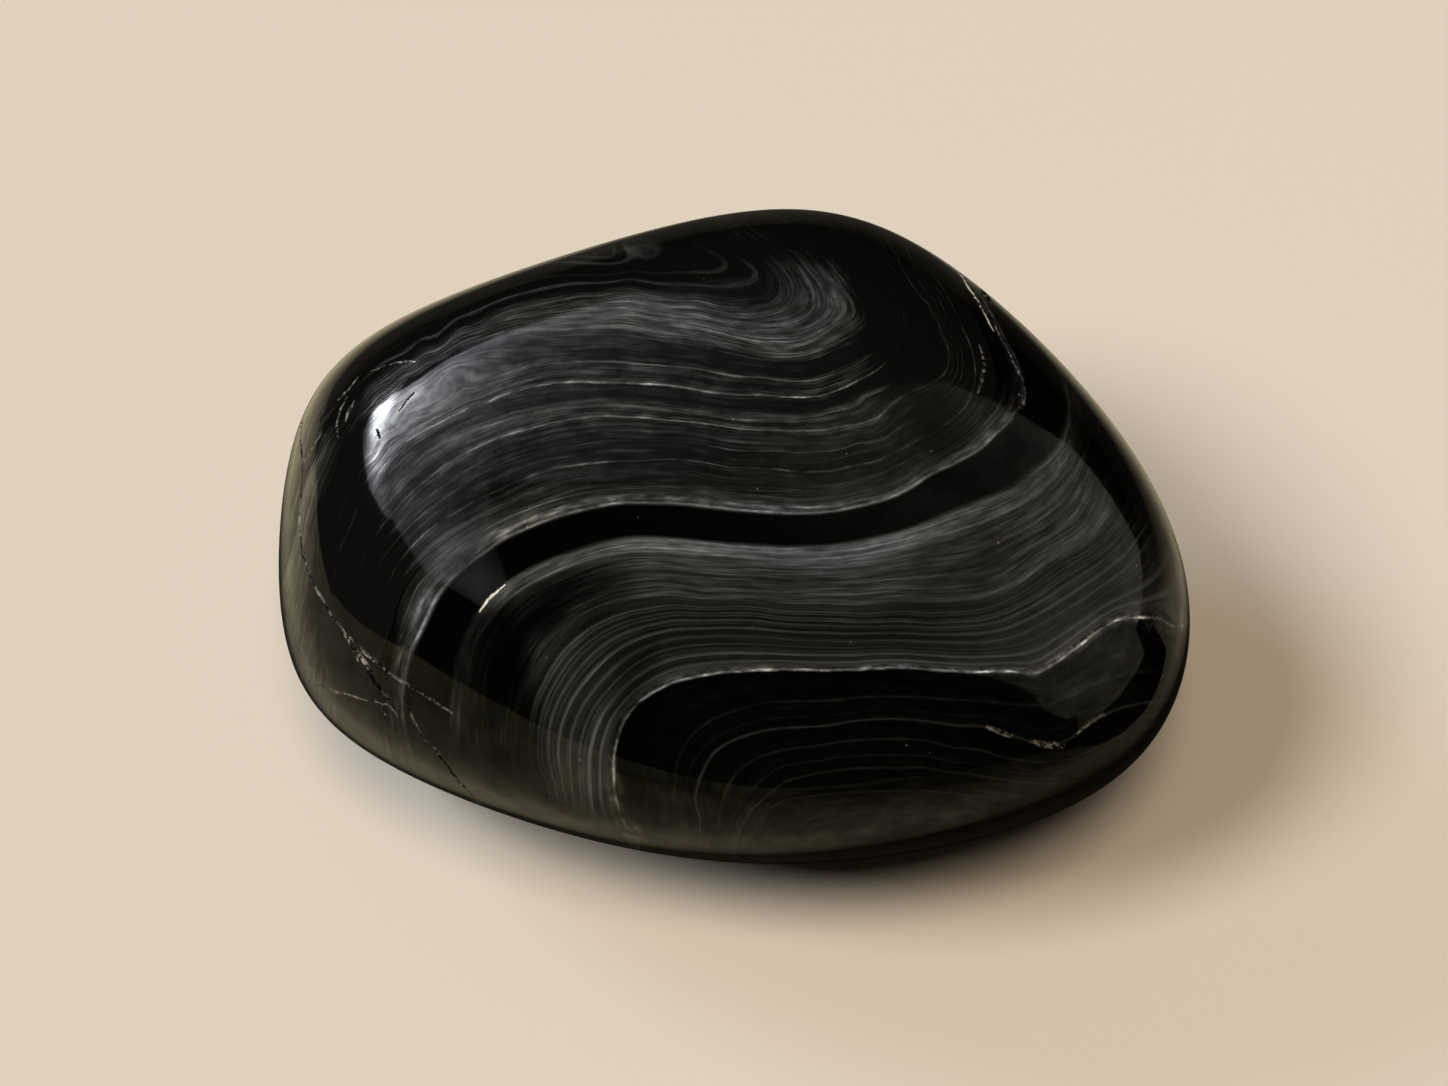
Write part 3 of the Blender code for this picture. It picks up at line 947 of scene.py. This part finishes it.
def sheet_place(points):
    """Where points of the stone fall on the drawing sheet, in millimetres from its middle."""
    away = points - np.array(EYE)
    up = np.array((0.0, math.sin(CAMERA_LIFT), math.cos(CAMERA_LIFT)))
    inward = np.array(LOOK_AT - EYE) / CAMERA_DISTANCE
    depth = away @ inward
    across = CAMERA_DISTANCE / MM
    return np.stack([away[:, 0] / depth * across, away @ up / depth * across], axis=1)


def bend(square_distance):
    return 0.5 * square_distance * np.log(np.maximum(square_distance, 1e-12))


class Layers:
    """The level of the layers anywhere on the drawing sheet: a thin plate bent to the guide lines."""

    def __init__(self):
        middle = np.array(SHEET_MIDDLE)
        places = []
        levels = []
        for level, line in GUIDE_LINES.values():
            for point in line:
                places.append((np.array(point) - middle) * (1.0, -1.0) / SHEET_UNITS_PER_MM)
                levels.append(level)
        self.places = np.array(places)
        count = len(places)
        plain = np.hstack([np.ones((count, 1)), self.places])
        rows = np.zeros((count + 3, count + 3))
        gaps = ((self.places[:, None] - self.places[None]) ** 2).sum(-1)
        rows[:count, :count] = bend(gaps) + GUIDE_SLACK * np.eye(count)
        rows[:count, count:] = plain
        rows[count:, :count] = plain.T
        self.weights = np.linalg.solve(rows, np.concatenate([levels, np.zeros(3)]))

    def level(self, at):
        count = len(self.places)
        found = np.empty(len(at))
        for start in range(0, len(at), ROWS_AT_ONCE):
            part = at[start : start + ROWS_AT_ONCE]
            gaps = ((part[:, None] - self.places[None]) ** 2).sum(-1)
            bent = bend(gaps) @ self.weights[:count]
            found[start : start + ROWS_AT_ONCE] = bent + part @ self.weights[count + 1 :]
        return found + self.weights[count]


def patch_gain(at):
    """The gain of the soft patches at places on the drawing sheet, in doublings."""
    gain = np.zeros(len(at))
    for middle, reach, turn, strength in PATCHES.values():
        middle = (np.array(middle) - SHEET_MIDDLE) * (1.0, -1.0) / SHEET_UNITS_PER_MM
        reach = np.array(reach) / SHEET_UNITS_PER_MM
        along = np.array((math.cos(math.radians(turn)), math.sin(math.radians(turn))))
        offset = at - middle
        far = np.hypot(offset @ along / reach[0], (offset @ (-along[1], along[0])) / reach[1])
        gain += math.log2(strength) * np.exp(-(far**4))
    return gain


def store(mesh, name, values):
    attribute = mesh.attributes.new(name, "FLOAT", "POINT")
    attribute.data.foreach_set("value", values.astype(np.float32))


def lay_layers(mesh):
    """Stores the level of the layers at each point of the stone."""
    points = vectors_of(mesh, "co")
    to_eye = np.array(EYE) - points
    to_eye /= np.linalg.norm(to_eye, axis=1, keepdims=True)
    turned_away = np.maximum(0.0, -(vectors_of(mesh, "normal") * to_eye).sum(1))
    at = sheet_place(points)
    turn = np.radians(BACK_TURN) * turned_away
    at = np.stack(
        [
            at[:, 0] * np.cos(turn) - at[:, 1] * np.sin(turn) + BACK_DRIFT[0] * turned_away,
            at[:, 0] * np.sin(turn) + at[:, 1] * np.cos(turn) + BACK_DRIFT[1] * turned_away,
        ],
        axis=1,
    )
    layers = Layers()
    level = layers.level(at)
    store(mesh, "layer", level)
    climb = [layers.level(at + step) - level for step in ((PACE_STEP, 0.0), (0.0, PACE_STEP))]
    store(mesh, "pace", np.hypot(*climb) / PACE_STEP)
    store(mesh, "patch", patch_gain(at))


# ---------------------------------------------------------------- finish


def tone_ramp(w, level, stops, gain=1.0):
    """Reads a list of (level, value ...) stops at the given level."""
    low = stops[0][0]
    span = stops[-1][0] - low
    place = rise(w, level, low, low + span, kind="LINEAR")
    ramp = w.node("ShaderNodeValToRGB", {"Fac": place})
    elements = ramp.color_ramp.elements
    while len(elements) < len(stops):
        elements.new(1.0)
    for element, (stop, *values) in zip(elements, stops):
        element.position = (stop - low) / span
        if len(values) == 1:
            values = values * 3
        element.color = (*[value * gain for value in values], 1.0)
    return ramp.outputs["Color"]


def within(w, level, stops):
    """1 where the level lies within the list of stops, 0 elsewhere."""
    above = w.math("GREATER_THAN", level, stops[0][0])
    below = w.math("LESS_THAN", level, stops[-1][0])
    return w.math("MULTIPLY", above, below)


def kept(w, name):
    """A value that the mesh keeps at each of its points."""
    return w.node("ShaderNodeAttribute", attribute_name=name).outputs["Fac"]


def noise_at(w, place, waves, detail, fineness=0.5):
    """Noise between 0 and 1, with so many waves per millimetre."""
    settings = {"Vector": place, "Scale": waves, "Detail": detail, "Roughness": fineness}
    return w.node("ShaderNodeTexNoise", settings).outputs[0]


def stray_of(w, place, waves, reach, fineness):
    """Noise from minus to plus half its reach."""
    value = noise_at(w, place, waves, 2.0, fineness)
    return w.math("MULTIPLY", w.math("SUBTRACT", value, 0.5), reach)


def wandering_level(w, place, pace):
    """The level of the layers, with the stray of the real ones."""
    fine = w.math("ADD", stray_of(w, place, *RIPPLE), stray_of(w, place, *RAGGED_EDGE))
    stray = w.math("ADD", stray_of(w, place, *WANDER), fine)
    return w.math("ADD", kept(w, "layer"), w.math("MULTIPLY", pace, stray))


def streaks(w, place, level, share, along, across, detail, seed, strength):
    """Noise drawn out along the layers: `along` and `across` are its waves per millimetre."""
    node = w.node(
        "ShaderNodeTexNoise",
        {
            "Vector": w.vector("ADD", w.scaled(place, along), (seed, seed * 0.7, seed * 1.3)),
            "W": w.math("MULTIPLY", level, across),
            "Scale": 1.0,
            "Detail": detail,
            "Roughness": STREAK_FINENESS,
        },
        noise_dimensions="4D",
    )
    streak = w.math("MULTIPLY", share, w.math("SUBTRACT", node.outputs[0], 0.5))
    return w.math("MULTIPLY", streak, strength)


def doublings_of_light(w, place, level):
    """How many times the light of a layer doubles at each place, by its streaks and the soft patches."""
    shares = w.node("ShaderNodeSeparateColor", {0: tone_ramp(w, level, LIVELINESS, RAMP_RANGE)}).outputs
    total = 0.0
    for share, kind in zip(shares, (LONG_STREAKS, DASHES, BRUSHING)):
        total = w.math("ADD", total, streaks(w, place, level, share, *kind))
    total = w.math("MULTIPLY", total, STREAK_RANGE / RAMP_RANGE)
    return w.math("ADD", total, kept(w, "patch"))


def layer_tone(w, level, pace, doublings):
    """The share of light that the stone gives back: the brightest of the layers at each place."""
    outward = w.math("SUBTRACT", level, RIM_LEVEL)
    outward = w.math("DIVIDE", outward, w.math("MAXIMUM", pace, SLOWEST_PACE))
    tone = w.math("MULTIPLY", tone_ramp(w, outward, RIM_TONES), within(w, outward, RIM_TONES))
    for stops in TONE_STRETCHES:
        here = w.math("MULTIPLY", tone_ramp(w, level, stops), within(w, level, stops))
        tone = w.math("MAXIMUM", tone, here)
    tone = w.math("MULTIPLY", tone, w.math("POWER", 2.0, doublings))
    smoke = w.math("MULTIPLY", w.math("GREATER_THAN", level, SMOKE_LEVEL), SMOKE_TONE)
    return w.math("MAXIMUM", tone, w.math("ADD", smoke, BLACK_TONE))


def layer_shine(w, place, level, doublings):
    """How strongly the polish shines: livelier in the streaks, clouded from place to place."""
    shine = tone_ramp(w, level, SHINE)
    lively = w.math("POWER", 2.0, w.math("MULTIPLY", doublings, SHINE_IN_STREAKS))
    shine = w.math("MULTIPLY", shine, lively)
    least, most = SHINE_BOUNDS
    shine = w.math("MINIMUM", w.math("MAXIMUM", shine, least), most)
    cloud = noise_at(w, place, CLOUD_WAVES, 5.0, 0.6)
    return w.math("MULTIPLY", shine, rise(w, cloud, *NOISE_MIDDLE, *CLOUDED_POLISH))


def layer_tint(w, place, tone):
    """The colour that the tone is multiplied by."""
    warmth = rise(w, noise_at(w, place, TINT_WAVES, 1.0), *NOISE_MIDDLE, kind="LINEAR")
    bright_tint = w.blend(warmth, COOL_TINT, WARM_TINT)
    return w.blend(rise(w, tone, *OLIVE_TONES), OLIVE_TINT, bright_tint)


def lip_grains_and_painted_glints(w, place):
    """The bright broken grains and painted glints on the lips of the cracks. Strong lips are bright all
    along, a painted reflection of the floor.
    """
    lip = kept(w, "lip")
    waves, reach = FLECK_STRETCHES
    stretches = w.math("SUBTRACT", noise_at(w, place, waves, 1.0), 0.5)
    flecks = w.math("ADD", noise_at(w, place, FLECK_WAVES, 3.0), w.math("MULTIPLY", stretches, reach))
    flecks = rise(w, flecks, *FLECK_RANGE, kind="LINEAR")
    flecks = w.math("MAXIMUM", flecks, w.math("SUBTRACT", lip, 1.0))
    flecks = w.math("MULTIPLY", w.math("MULTIPLY", lip, flecks), GRAIN_AND_GLINT_TONE)
    return w.math("MINIMUM", flecks, FLECK_LIMIT)


def pits(w, place):
    """Tiny bright pits in the polish, each of its own size."""
    cells = w.node("ShaderNodeTexVoronoi", {"Vector": place, "Scale": PITS_PER_MM}, feature="F1")
    size = w.node("ShaderNodeSeparateColor", {0: cells.outputs["Color"]}).outputs[0]
    reach = w.math("MULTIPLY", size, PIT_SIZE * PITS_PER_MM)
    inside = w.math("LESS_THAN", cells.outputs["Distance"], reach)
    return w.math("MULTIPLY", inside, w.math("MULTIPLY", size, PIT_TONE))


def onyx_finish():
    material = bpy.data.materials.new("banded_black_onyx")
    material.use_nodes = True
    tree = material.node_tree
    tree.nodes.clear()
    w = Wiring(tree)
    place = w.scaled(w.node("ShaderNodeTexCoord").outputs["Object"], 1.0 / MM)
    pace = kept(w, "pace")
    level = wandering_level(w, place, pace)
    doublings = doublings_of_light(w, place, level)
    tone = layer_tone(w, level, pace, doublings)
    shine = layer_shine(w, place, level, doublings)
    tint = layer_tint(w, place, tone)

    crack = kept(w, "crack")
    tone = w.math("MULTIPLY", tone, w.math("SUBTRACT", 1.0, w.math("MULTIPLY", crack, CRACK_DARKENS)))
    shine = w.math("MULTIPLY", shine, w.math("SUBTRACT", 1.0, w.math("MULTIPLY", crack, CRACK_DULLS)))
    # The broken grains, painted glints and painted reflection on the crack lips, with the bright pits.
    bright = w.math("ADD", lip_grains_and_painted_glints(w, place), pits(w, place))
    colour = w.vector("ADD", w.scaled(tint, tone), w.scaled(GRAIN_AND_GLINT_COLOUR, bright))
    roughness = w.math("SQRT", tone)
    roughness = rise(w, roughness, *ROUGHNESS_TONES, BLACK_ROUGHNESS, GREY_ROUGHNESS, "LINEAR")
    roughness = w.math("ADD", roughness, w.math("MULTIPLY", crack, CRACK_ROUGHENS))
    shader = w.node(
        "ShaderNodeBsdfPrincipled",
        {
            "Base Color": colour,
            "Roughness": roughness,
            "IOR": AGATE_IOR,
            "Specular IOR Level": shine,
            "Specular Tint": POLISH_TINT,
        },
    )
    w.node("ShaderNodeOutputMaterial", {"Surface": shader.outputs[0]})
    return material


# ---------------------------------------------------------------- building


def build_stone():
    finish = onyx_finish()
    points, squares = ball_grid()
    stone = placed("onyx", mesh_of(points, squares))
    form = tumbled_form_tree()
    run_tree(stone, form, Finish=finish)
    made_plain(stone)
    lines = crack_lines(stone)
    stone.data = mesh_of(*finer_along(points, triangles_of(points, squares), lines))
    guides = crack_guides(lines)
    run_tree(stone, form, Finish=finish)
    run_tree(stone, crack_tree(), **{"Crack lines": guides, "Finish": finish})
    mesh = made_plain(stone)
    bpy.data.objects.remove(guides)
    mesh.name = "onyx"
    mesh.shade_smooth()
    mesh.set_sharp_from_angle(angle=SHARP_ANGLE)
    lay_layers(mesh)
    bake_map(mesh)
    return stone


def build_camera():
    data = bpy.data.cameras.new("camera")
    data.lens = LENS
    data.sensor_width = SENSOR
    data.shift_x = -(SHEET_MIDDLE[0] - IMAGE_WIDTH / 2.0) / IMAGE_WIDTH
    data.shift_y = (SHEET_MIDDLE[1] - IMAGE_HEIGHT / 2.0) / IMAGE_WIDTH
    data.clip_start = CLIP_START
    data.clip_end = CLIP_END
    camera = placed("camera", data)
    camera.location = EYE
    camera.rotation_euler = (math.pi / 2.0 - CAMERA_LIFT, 0.0, 0.0)
    bpy.context.scene.camera = camera


def staged(name, corners, faces, material):
    """A piece of the room, which isn't part of the stone."""
    mesh = bpy.data.meshes.new(name)
    mesh.from_pydata(corners, [], faces)
    mesh.materials.append(material)
    piece = placed(name, mesh)
    return piece


def flat_piece(name, corners, material):
    return staged(name, corners, [tuple(range(len(corners)))], material)


def floor_finish():
    material = bpy.data.materials.new("pale_floor")
    material.use_nodes = True
    shader = material.node_tree.nodes["Principled BSDF"]
    shader.inputs["Base Color"].default_value = (*FLOOR_COLOUR, 1.0)
    shader.inputs["Roughness"].default_value = FLOOR_ROUGHNESS
    shader.inputs["Specular IOR Level"].default_value = FLOOR_SHINE
    return material


def slab_finish():
    material = floor_finish()
    material.name = "slab_in_the_polish"
    w = Wiring(material.node_tree)
    place = w.node("ShaderNodeSeparateXYZ", {0: w.node("ShaderNodeTexCoord").outputs["Object"]}).outputs
    left = w.math("MINIMUM", place["X"], 0.0)
    back = w.math("ADD", place["Y"], w.math("MULTIPLY", left, BACK_SLANT))
    front = w.math("ADD", place["Y"], w.math("MULTIPLY", left, FRONT_SLANT))
    tone = 1.0
    for along, (start, end, dimmest) in (
        (back, DIM_TO_THE_BACK),
        (place["X"], DIM_TO_THE_RIGHT),
        (front, DIM_TO_THE_FRONT),
    ):
        tone = w.math("MULTIPLY", tone, rise(w, along, start, end, 1.0, dimmest, "LINEAR"))
    across = w.math("SUBTRACT", place["X"], FOOT_MIDDLE[0])
    inward = w.math("SUBTRACT", place["Y"], FOOT_MIDDLE[1])
    cos, sin = math.cos(FOOT_TURN), math.sin(FOOT_TURN)
    total = 0.0
    for part, half in (((cos, sin), FOOT_HALF_SIZES[0]), ((-sin, cos), FOOT_HALF_SIZES[1])):
        along = w.math("ADD", w.math("MULTIPLY", across, part[0]), w.math("MULTIPLY", inward, part[1]))
        along = w.math("ABSOLUTE", w.math("DIVIDE", along, half))
        total = w.math("ADD", total, w.math("POWER", along, FOOT_CRISPNESS))
    around = w.math("POWER", total, 1.0 / FOOT_CRISPNESS)
    start, end, dimmest = DIM_AT_THE_FOOT
    tone = w.math("MULTIPLY", tone, rise(w, around, start, end, dimmest, 1.0, "LINEAR"))
    shader = material.node_tree.nodes["Principled BSDF"]
    material.node_tree.links.new(w.scaled(SLAB_COLOUR, tone), shader.inputs["Base Color"])
    return material


def build_floor():
    finish = floor_finish()
    far = FLOOR_HALF_WIDTH
    corners = [(-far, -far, 0.0), (far, -far, 0.0), (far, far, 0.0), (-far, far, 0.0)]
    floor = flat_piece("floor", corners, finish)
    floor.visible_glossy = False
    reach = SLAB_REACH
    corners = [(-reach, reach), (-reach, -reach), *SLAB_RIGHT, (reach, reach)]
    corners = [(x, y, SLAB_LIFT) for x, y in corners]
    seen_by_the_polish_alone(flat_piece("slab_in_the_polish", corners, slab_finish()))


def glow(name, colour, light):
    """An emitter. `light` is given the wiring and the x and y of each place on the card, in metres."""
    material = bpy.data.materials.new(name)
    material.use_nodes = True
    material.node_tree.nodes.clear()
    w = Wiring(material.node_tree)
    place = w.node("ShaderNodeSeparateXYZ", {0: w.node("ShaderNodeTexCoord").outputs["Object"]}).outputs
    strength = light(w, place["X"], place["Y"])
    emission = w.node("ShaderNodeEmission", {"Color": (*colour, 1.0), "Strength": strength})
    w.node("ShaderNodeOutputMaterial", {"Surface": emission.outputs[0]})
    return material


def wall_light(w, x, y):
    return rise(w, x, WALL_LEFT_END, 0.0, *WALL_LIGHT)


def haze_light(w, x, y):
    """The same everywhere."""
    return HAZE_LIGHT


def build_wall(name, distance, top_line, colour, light):
    """A strip that stands on the floor and reaches up to its top line."""
    corners = []
    for bearing, lift in top_line:
        foot = direction(bearing, 0.0) * distance
        top = distance * math.tan(math.radians(lift)) + WALL_BASE
        corners += [(foot.x, foot.y, SLAB_LIFT), (foot.x, foot.y, top)]
    faces = [(i, i + 2, i + 3, i + 1) for i in range(0, len(corners) - 2, 2)]
    seen_by_the_polish_alone(staged(name, corners, faces, glow(name + "_light", colour, light)))


def soft_spot(w, x, y, middle, reach, light):
    """The light of a soft round spot: whole in its middle, next to nothing at a few times its reach."""
    across = w.math("DIVIDE", w.math("SUBTRACT", x, middle[0]), reach[0])
    along = w.math("DIVIDE", w.math("SUBTRACT", y, middle[1]), reach[1])
    square = w.math("ADD", w.math("MULTIPLY", across, across), w.math("MULTIPLY", along, along))
    return w.math("MULTIPLY", w.math("POWER", math.e, w.math("MULTIPLY", square, -1.0)), light)


def window_light(w, x, y):
    place = w.node("ShaderNodeCombineXYZ", {"X": x, "Y": y}).outputs[0]
    far = w.vector("DISTANCE", place, (*WINDOW_GLOW_MIDDLE, 0.0))
    haze = w.math("POWER", math.e, w.math("DIVIDE", far, -WINDOW_GLOW_REACH))
    light = w.math("ADD", w.math("MULTIPLY", haze, WINDOW_GLOW), WINDOW_LEAST)
    for spot in WINDOW_SPOTS.values():
        light = w.math("ADD", light, soft_spot(w, x, y, *spot))
    light = w.math("MULTIPLY", light, rise(w, x, *WINDOW_FADE, 1.0, 0.0))
    return w.math("MULTIPLY", light, w.math("SUBTRACT", 1.0, soft_spot(w, x, y, *WINDOW_HOLLOW)))


def overhead_light(w, x, y):
    light = w.math("SUBTRACT", 1.0, soft_spot(w, x, y, *OVERHEAD_HOLLOW))
    for fade in OVERHEAD_FADES:
        light = w.math("MULTIPLY", light, rise(w, x, *fade))
    return w.math("MULTIPLY", light, rise(w, w.math("ADD", x, y), *OVERHEAD_SLANTED_FADE))


def seen_by_the_polish_alone(card):
    card.visible_camera = False
    card.visible_diffuse = False
    card.visible_shadow = False


def build_lights():
    for name, outline, colour, light in (
        ("window_card", WINDOW_CARD, WINDOW_COLOUR, window_light),
        ("overhead_card", OVERHEAD_CARD, OVERHEAD_COLOUR, overhead_light),
    ):
        corners = [(x, y, CARD_HEIGHT) for x, y in outline]
        seen_by_the_polish_alone(flat_piece(name, corners, glow(name + "_light", colour, light)))

    build_wall("low_wall", WALL_DISTANCE, WALL_TOP, WALL_COLOUR, wall_light)
    build_wall("low_haze", HAZE_DISTANCE, HAZE_TOP, HAZE_COLOUR, haze_light)
    for name, (bearing, lift, spread, light) in LAMPS.items():
        data = bpy.data.lights.new(name, "SUN")
        data.angle = math.radians(spread)
        strength = max(light)
        data.color = [part / strength for part in light]
        data.energy = strength * math.pi / math.sin(math.radians(lift))
        lamp = placed(name, data)
        lamp.rotation_euler = (-direction(bearing, lift)).to_track_quat("-Z", "Y").to_euler()
        lamp.visible_glossy = False

    world = bpy.data.worlds.new("room")
    world.use_nodes = True
    background = world.node_tree.nodes["Background"]
    background.inputs["Color"].default_value = (*ROOM_LIGHT, 1.0)
    background.inputs["Strength"].default_value = 1.0
    world.cycles_visibility.glossy = False
    bpy.context.scene.world = world


def main():
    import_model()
    bpy.context.scene.view_settings.view_transform = "Standard"
    build_camera()
    build_floor()
    build_lights()
    stone = build_stone()
    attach(stone, "root")
    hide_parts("stone")


main()
